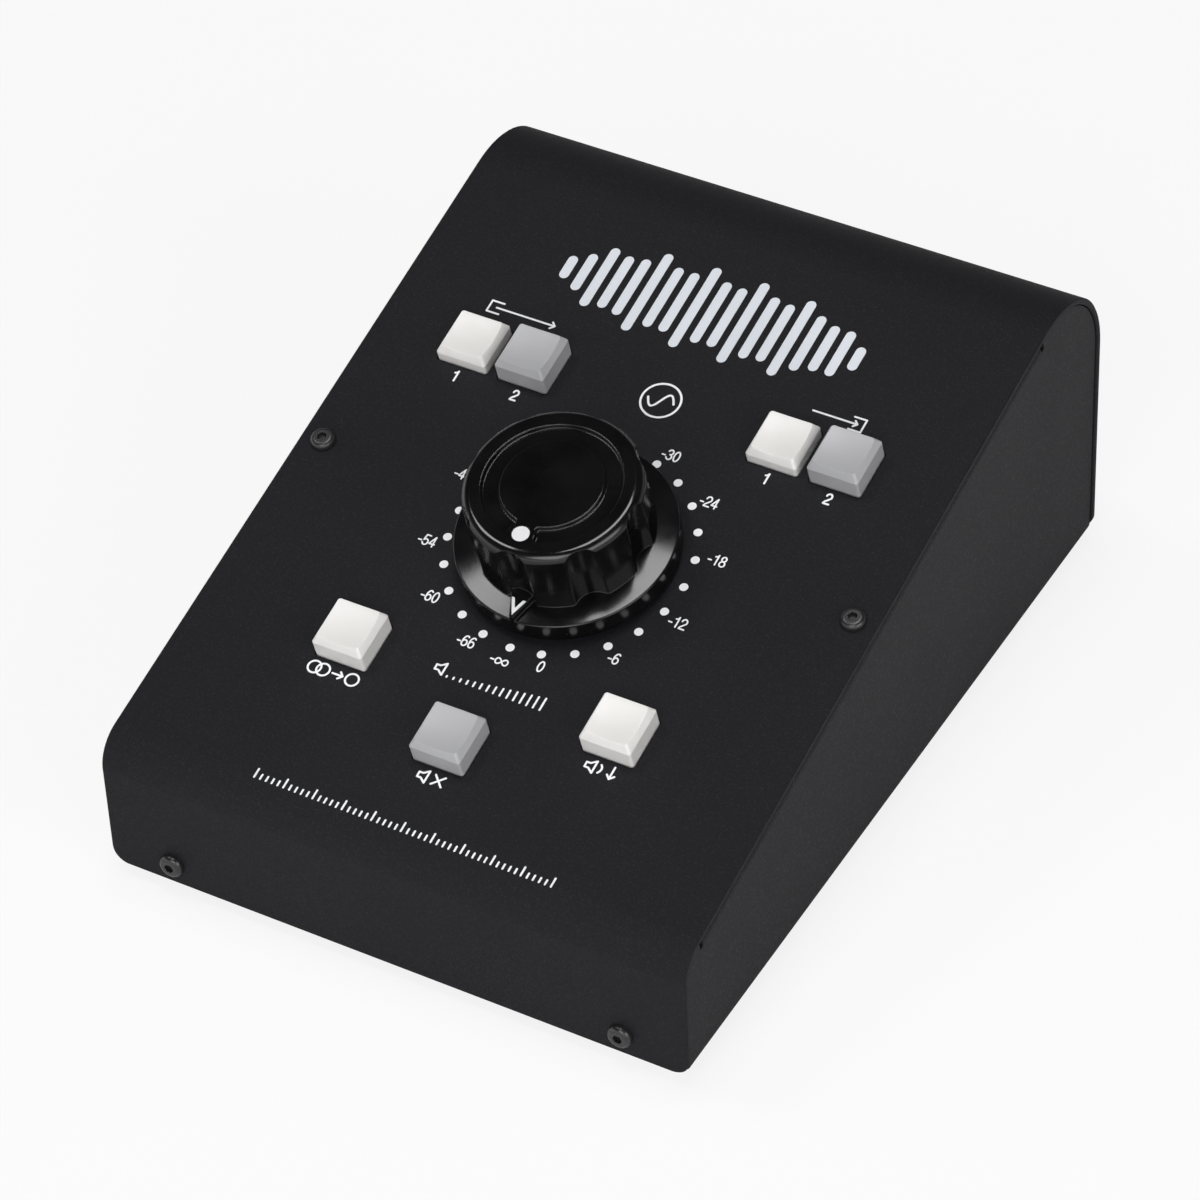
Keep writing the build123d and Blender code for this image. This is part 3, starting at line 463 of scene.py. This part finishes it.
# Geometry Nodes tree with named inputs: each maps to a starting number, or to None for a material
def newShapeTree(name, inputs):
    tree = bpy.data.node_groups.new(name, "GeometryNodeTree")
    tree.interface.new_socket("Geometry", in_out="INPUT", socket_type="NodeSocketGeometry")
    for label, start in inputs.items():
        socket = tree.interface.new_socket(label, in_out="INPUT", socket_type=socketKinds[type(start)])
        if start is not None:
            socket.default_value = start
    tree.interface.new_socket("Geometry", in_out="OUTPUT", socket_type="NodeSocketGeometry")
    return tree, tree.nodes.new("NodeGroupInput").outputs


# Sets a modifier's named inputs by their socket identifiers
def setInputs(modifier, values):
    for item in modifier.node_group.interface.items_tree:
        if item.item_type == "SOCKET" and item.in_out == "INPUT" and item.name in values:
            modifier[item.identifier] = values[item.name]


# Runs a tree on the holder, keeps the result as a plain mesh at its pose and lets it ride
def bakeShape(holder, name, tree, values, pose, body):
    modifier = holder.modifiers.new(name, "NODES")
    modifier.node_group = tree
    setInputs(modifier, values)
    bpy.context.view_layer.update()
    graph = bpy.context.evaluated_depsgraph_get()
    mesh = bpy.data.meshes.new_from_object(holder.evaluated_get(graph))
    holder.modifiers.remove(modifier)
    bpy.data.objects.remove(holder)
    mesh.transform(pose)
    mesh.name = name
    piece = addObject(name, mesh)
    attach(piece, body)


# Makes instances real, gives them a material and sends them out
def finishShape(tree, shape, material):
    real = addNode(tree, "GeometryNodeRealizeInstances", {0: shape})
    painted = addNode(tree, "GeometryNodeSetMaterial", {"Geometry": real.outputs[0], "Material": material})
    addNode(tree, "NodeGroupOutput", {0: painted.outputs[0]})


# Flat shading, for thin printed film
def flatShape(tree, shape):
    real = addNode(tree, "GeometryNodeRealizeInstances", {0: shape})
    inputs = {"Geometry": real.outputs[0], "Shade Smooth": False}
    return addNode(tree, "GeometryNodeSetShadeSmooth", inputs).outputs[0]


def placeOn(tree, points, shape, selection=True):
    inputs = {"Points": points, "Selection": selection, "Instance": shape}
    return addNode(tree, "GeometryNodeInstanceOnPoints", inputs).outputs[0]


def sweepAlong(tree, path, profile, caps=False):
    inputs = {"Curve": path, "Profile Curve": profile, "Fill Caps": caps}
    return addNode(tree, "GeometryNodeCurveToMesh", inputs).outputs[0]


def circleCurve(tree, radius, resolution):
    inputs = {"Resolution": resolution, "Radius": radius}
    return addNode(tree, "GeometryNodeCurvePrimitiveCircle", inputs).outputs["Curve"]


def boxCurve(tree, width, height):
    inputs = {"Width": width, "Height": height}
    return addNode(tree, "GeometryNodeCurvePrimitiveQuadrilateral", inputs).outputs["Curve"]


def discMesh(tree, vertices, radius, depth):
    inputs = {"Vertices": vertices, "Radius": radius, "Depth": depth}
    return addNode(tree, "GeometryNodeMeshCylinder", inputs).outputs["Mesh"]


# Turns curves into flat printed strokes with round ends
def strokeTree():
    tree, given = newShapeTree("printedStroke", {
        "Stroke Width": 0.0004, "Ink Thickness": 0.00003, "Ink": None,
    })
    upright = addNode(tree, "GeometryNodeSetCurveNormal", {0: given["Geometry"]}, mode="Z_UP").outputs[0]
    section = boxCurve(tree, given["Stroke Width"], given["Ink Thickness"])
    ribbon = sweepAlong(tree, upright, section, caps=True)
    depth = mathNode(tree, "MULTIPLY", given["Ink Thickness"], endShare)
    radius = mathNode(tree, "MULTIPLY", given["Stroke Width"], 0.5)
    dot = discMesh(tree, facets["strokeEnd"], radius, depth)
    ends = addNode(tree, "GeometryNodeCurveEndpointSelection").outputs[0]
    join = addNode(tree, "GeometryNodeJoinGeometry")
    for part in (placeOn(tree, given["Geometry"], dot, ends), ribbon):
        tree.links.new(part, join.inputs[0])
    finishShape(tree, flatShape(tree, join.outputs[0]), given["Ink"])
    return tree


# A ring of printed dots
def dotRingTree():
    tree, given = newShapeTree("dotRing", {
        "Count": 24, "Ring Radius": 0.027, "Dot Radius": 0.001, "Ink Thickness": 0.00003, "Ink": None,
    })
    inputs = {"Vertices": given["Count"], "Radius": given["Ring Radius"]}
    ring = addNode(tree, "GeometryNodeMeshCircle", inputs).outputs["Mesh"]
    dot = discMesh(tree, facets["dot"], given["Dot Radius"], given["Ink Thickness"])
    finishShape(tree, flatShape(tree, placeOn(tree, ring, dot)), given["Ink"])
    return tree


# Thread ridges: a stack of rings set on each point
def ridgeTree():
    tree, given = newShapeTree("threadRidges", {
        "Ring Radius": 0.0046, "Wire Radius": 0.0001, "Count": 3, "Pitch": 0.0005, "Finish": None,
    })
    wire = circleCurve(tree, given["Wire Radius"], facets["wire"])
    ridge = sweepAlong(tree, circleCurve(tree, given["Ring Radius"], facets["ridge"]), wire)
    step = addNode(tree, "ShaderNodeCombineXYZ", {"Z": given["Pitch"]}).outputs[0]
    stack = addNode(tree, "GeometryNodeMeshLine", {"Count": given["Count"], "Offset": step}).outputs["Mesh"]
    thread = placeOn(tree, stack, ridge)
    finishShape(tree, placeOn(tree, given["Geometry"], thread), given["Finish"])
    return tree


# Sleeves: a short open tube set on each point
def sleeveTree():
    tree, given = newShapeTree("contactSleeves", {
        "Tube Radius": 0.003, "Wall": 0.0002, "Length": 0.003, "Finish": None,
    })
    wall = boxCurve(tree, given["Wall"], given["Length"])
    tube = sweepAlong(tree, circleCurve(tree, given["Tube Radius"], facets["sleeve"]), wall)
    finishShape(tree, placeOn(tree, given["Geometry"], tube), given["Finish"])
    return tree


# Printing on the panel, in mm; lift is to the middle of the film, layer keeps crossing strokes apart, and a
# stroke whose ends are closer than join is closed
ink = {
    "thickness": 0.04, "lift": 0.02, "layer": 0.001, "layers": 4, "join": 1e-6,
    "stroke": 0.36, "legendStroke": 0.45,
}


# Points on an ellipse between two angles in degrees
def arc(x, y, radiusX, radiusY, start, end, steps=14):
    turns = [math.radians(start + (end - start) * step / steps) for step in range(steps + 1)]
    return [(x + radiusX * math.cos(turn), y + radiusY * math.sin(turn)) for turn in turns]


endlessShape = {"middle": (0.58, 0.37), "reach": (0.50, 0.68), "steps": 40}


# The infinity sign, a figure of eight lying down
def endless(shape):
    points = []
    for step in range(shape["steps"] + 1):
        turn = 2 * math.pi * step / shape["steps"]
        spread = 1 + math.sin(turn) ** 2
        x = shape["middle"][0] + shape["reach"][0] * math.cos(turn) / spread
        y = shape["middle"][1] + shape["reach"][1] * math.sin(turn) * math.cos(turn) / spread
        points.append((x, y))
    return points


# Strokes of each figure in a cell one figure tall, after the cell's width
figures = {
    "0": (0.56, [arc(0.28, 0.5, 0.205, 0.435, 0, 360, 28)]),
    "1": (0.56, [[(0.35, 0.065), (0.35, 0.935)], [(0.14, 0.74), (0.26, 0.78), (0.35, 0.935)]]),
    "2": (0.56, [arc(0.28, 0.69, 0.2, 0.245, 175, -25) + [(0.31, 0.42), (0.12, 0.22), (0.07, 0.065)],
                 [(0.07, 0.065), (0.49, 0.065)]]),
    "3": (0.56, [arc(0.27, 0.72, 0.185, 0.215, 165, -90), arc(0.27, 0.285, 0.205, 0.22, 90, -165)]),
    "4": (0.56, [[(0.37, 0.935), (0.06, 0.29)], [(0.06, 0.29), (0.5, 0.29)], [(0.38, 0.065), (0.38, 0.935)]]),
    "5": (0.56, [[(0.15, 0.935), (0.47, 0.935)], [(0.15, 0.935), (0.1, 0.5)],
                 arc(0.27, 0.325, 0.21, 0.26, 145, -160)]),
    "6": (0.56, [arc(0.28, 0.32, 0.2, 0.255, 0, 360, 24), arc(0.31, 0.5, 0.23, 0.435, 55, 180)]),
    "8": (0.56, [arc(0.28, 0.73, 0.175, 0.205, 0, 360, 22), arc(0.28, 0.29, 0.205, 0.225, 0, 360, 22)]),
    "-": (0.36, [[(0.06, 0.37), (0.29, 0.37)]]),
    "~": (1.16, [endless(endlessShape)]),
}


# Strokes of a row of figures centred on x and y
def writeFigures(text, x, y, height):
    width = sum(figures[sign][0] for sign in text) * height
    start = x - width / 2
    strokes = []
    for sign in text:
        cell, lines = figures[sign]
        for line in lines:
            strokes.append([(start + px * height, y + (py - 0.5) * height) for px, py in line])
        start += cell * height
    return strokes


# A broken line as separate strokes, so that each corner gets a round joint
def corners(*points):
    return [list(pair) for pair in zip(points, points[1:])]


# A line from one spot to another with an open head
def arrow(start, end, head=0.85):
    run = Vector(end) - Vector(start)
    back = run.normalized() * head
    side = Vector((-back.y, back.x))
    tip = Vector(end)
    return [[start, end], [tuple(tip - back + side), end], [tuple(tip - back - side), end]]


# Shifts strokes so that they are centred on x and stand on y
def standOn(strokes, x, y):
    across = [px for line in strokes for px, _ in line]
    middle = (min(across) + max(across)) / 2
    return [[(x - middle + px, y + py) for px, py in line] for line in strokes]


# A curve object with a spline for each stroke
def strokeCurve(name, strokes):
    curve = bpy.data.curves.new(name, "CURVE")
    curve.dimensions = "3D"
    for order, line in enumerate(strokes):
        closed = len(line) > 3 and math.dist(line[0], line[-1]) < ink["join"]
        points = line[:-1] if closed else line
        spline = curve.splines.new("POLY")
        spline.points.add(len(points) - 1)
        for point, (x, y) in zip(spline.points, points):
            point.co = (x * mm, y * mm, order % ink["layers"] * ink["layer"] * mm, 1.0)
        spline.use_cyclic_u = closed
    return addObject(name, curve)


# An object of loose points for a tree to set shapes on
def pointHolder(name, places):
    mesh = bpy.data.meshes.new(name)
    mesh.from_pydata(places, [], [])
    return addObject(name, mesh)


strokeShape = strokeTree()


def printStrokes(name, lines, width, material="panelInk"):
    values = {"Stroke Width": width * mm, "Ink Thickness": ink["thickness"] * mm, "Ink": made[material]}
    curve = strokeCurve(name, lines)
    bakeShape(curve, name, strokeShape, values, panelPose(ink["lift"]), "case")


# Dial: dots all round, and figures that run anticlockwise from 0 to minus infinity beside the lowest dot
dial = {"dots": 24, "ringRadius": 27.28, "dotRadius": 0.98, "figureHeight": 2.9}
dialFigures = {
    "0": (8.4, -29.1), "-6": (21.9, -21.5), "-12": (30.3, -8.5), "-18": (30.8, 8.75), "-24": (22.3, 21.6),
    "-30": (8.9, 29.6), "-36": (-9.0, 29.6), "-42": (-22.5, 21.6), "-48": (-31.0, 8.75), "-54": (-30.0, -9.4),
    "-60": (-22.4, -21.9), "-66": (-9.5, -29.25), "-~": (-0.5, -30.75),
}
bakeShape(pointHolder("dialDots", []), "dial_dots", dotRingTree(), {
    "Count": dial["dots"], "Ring Radius": dial["ringRadius"] * mm, "Dot Radius": dial["dotRadius"] * mm,
    "Ink Thickness": ink["thickness"] * mm, "Ink": made["panelInk"],
}, panelPose(ink["lift"]), "case")
dialLines = []
for sign, (figureX, figureY) in dialFigures.items():
    dialLines += writeFigures(sign, figureX, figureY, dial["figureHeight"])
printStrokes("dial_figures", dialLines, ink["stroke"])

# Numbers beside the paired buttons
buttonFigures = {
    "height": 3.0, "y": 31.5,
    "row": (("1", -45.6), ("2", -30.7), ("1", 30.8), ("2", 45.65)),
}
numberLines = []
for sign, figureX in buttonFigures["row"]:
    numberLines += writeFigures(sign, figureX, buttonFigures["y"], buttonFigures["height"])
printStrokes("button_numbers", numberLines, ink["legendStroke"])

# Signs beside the buttons and the dial, one legend height tall
legend = {"height": 3.0, "bars": 15, "barStart": 3.4, "barPitch": 1.6}
speaker = corners((0.0, 0.9), (0.9, 0.9), (2.1, 0.0), (2.1, 3.0), (0.9, 2.1), (0.0, 2.1), (0.0, 0.9))
soundArc = arc(2.4, 1.5, 1.3, 1.3, -50, 50, 10)
openLeft = corners((9.2, 3.2), (12.1, 3.2), (12.1, -0.2), (9.2, -0.2))
openRight = corners((3.0, 3.0), (0.0, 3.0), (0.0, 0.0), (3.0, 0.0))
rings = [arc(middle, 1.5, 1.5, 1.5, 0, 360, 28) for middle in (1.5, 3.6, 10.7)]
risingBars = []
for bar in range(legend["bars"]):
    barX = legend["barStart"] + bar * legend["barPitch"]
    risingBars.append([(barX, 0.0), (barX, legend["height"] * (bar + 1) / legend["bars"])])
signs = {
    "sendOut": (-39.6, 49.8, openRight + arrow((1.8, 1.5), (16.4, 1.5))),
    "takeIn": (38.2, 49.8, openLeft + arrow((0.0, 1.5), (10.6, 1.5), 0.75)),
    "sumToOne": (-32.2, -48.5, rings + arrow((5.9, 1.5), (8.4, 1.5))),
    "quieter": (32.2, -48.5, speaker + [soundArc] + arrow((6.2, 3.0), (6.2, 0.0))),
    "silent": (0.1, -63.8, speaker + [[(3.6, 0.3), (6.0, 2.7)], [(3.6, 2.7), (6.0, 0.3)]]),
    "level": (0.4, -38.8, speaker + risingBars),
}
signLines = []
for signX, signY, signStrokes in signs.values():
    signLines += standOn(signStrokes, signX, signY)
printStrokes("legend_signs", signLines, ink["legendStroke"])

# A sound wave drawn as round-ended bars above the dial; beat and phase make neighbouring bars differ
wave = {
    "bars": 19, "pitch": 3.95, "width": 2.3, "height": 23.0, "floor": 0.2, "even": 0.3, "x": -0.75, "y": 67.0,
    "beat": 2.1, "phase": 0.5, "shoulder": 4,
}
waveLines = []
for bar in range(wave["bars"]):
    place = 2 * bar / (wave["bars"] - 1) - 1
    beat = wave["even"] + (1 - wave["even"]) * abs(math.sin(wave["beat"] * bar + wave["phase"]))
    swell = wave["floor"] + (1 - wave["floor"]) * (1 - place ** wave["shoulder"]) * beat
    tall = (wave["height"] - wave["width"]) * swell
    barX = wave["x"] + place * wave["pitch"] * (wave["bars"] - 1) / 2
    waveLines.append([(barX, wave["y"] - tall / 2), (barX, wave["y"] + tall / 2)])
printStrokes("wave_graphic", waveLines, wave["width"], "paleInk")

# A ring with one wave in it
emblem = {"y": 41.75, "ring": 4.5, "ringSteps": 48, "reach": 3.1, "swing": 2.0, "steps": 24, "stroke": 0.5}
sine = []
for step in range(emblem["steps"] + 1):
    share = 2 * step / emblem["steps"] - 1
    sine.append((share * emblem["reach"], emblem["y"] + emblem["swing"] * math.sin(math.pi * share)))
emblemRing = arc(0.0, emblem["y"], emblem["ring"], emblem["ring"], 0, 360, emblem["ringSteps"])
printStrokes("wave_emblem", [emblemRing, sine], emblem["stroke"])

# A plain scale near the front bend
ticks = {"count": 51, "pitch": 1.42, "longEvery": 5, "long": 2.1, "short": 1.1, "x": 0.5, "y": -76.0}
tickLines = []
for tick in range(ticks["count"]):
    tickX = ticks["x"] + (tick - (ticks["count"] - 1) / 2) * ticks["pitch"]
    tall = ticks["short"] if tick % ticks["longEvery"] else ticks["long"]
    tickLines.append([(tickX, ticks["y"]), (tickX, ticks["y"] + tall)])
printStrokes("front_scale", tickLines, ink["legendStroke"])
print("printing done")

# Rear jacks, in mm: thread ridges on the bushings and a contact sleeve in each bore
threads = {"radius": 4.6, "wire": 0.12, "count": 3, "pitch": 0.5, "back": 1.35}
sleeves = {"radius": 3.12, "wall": 0.14, "length": 4.0, "back": 2.6}


# Middles of the jacks, some mm back from their noses
def rearPlaces(back):
    places = []
    for name in nodes:
        if name.startswith(("jack_input", "jack_output")):
            low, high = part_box(name)
            places.append(((low[0] + high[0]) / 2, high[1] - back * mm, (low[2] + high[2]) / 2))
    return places


# The trees stand shapes on their local Z, which points out of the rear wall here
def rearPiece(name, tree, values, back):
    outward = Matrix.Rotation(math.radians(-90), 4, "X")
    places = [outward.inverted() @ Vector(place) for place in rearPlaces(back)]
    bakeShape(pointHolder(name, places), name, tree, values, outward, "case")


rearPiece("jack_threads", ridgeTree(), {
    "Ring Radius": threads["radius"] * mm, "Wire Radius": threads["wire"] * mm, "Count": threads["count"],
    "Pitch": threads["pitch"] * mm, "Finish": made["jack_plastic"],
}, threads["back"])
rearPiece("jack_sleeves", sleeveTree(), {
    "Tube Radius": sleeves["radius"] * mm, "Wall": sleeves["wall"] * mm, "Length": sleeves["length"] * mm,
    "Finish": made["contactMetal"],
}, sleeves["back"])
print("rear pieces done")

bpy.context.scene.view_settings.view_transform = "Standard"
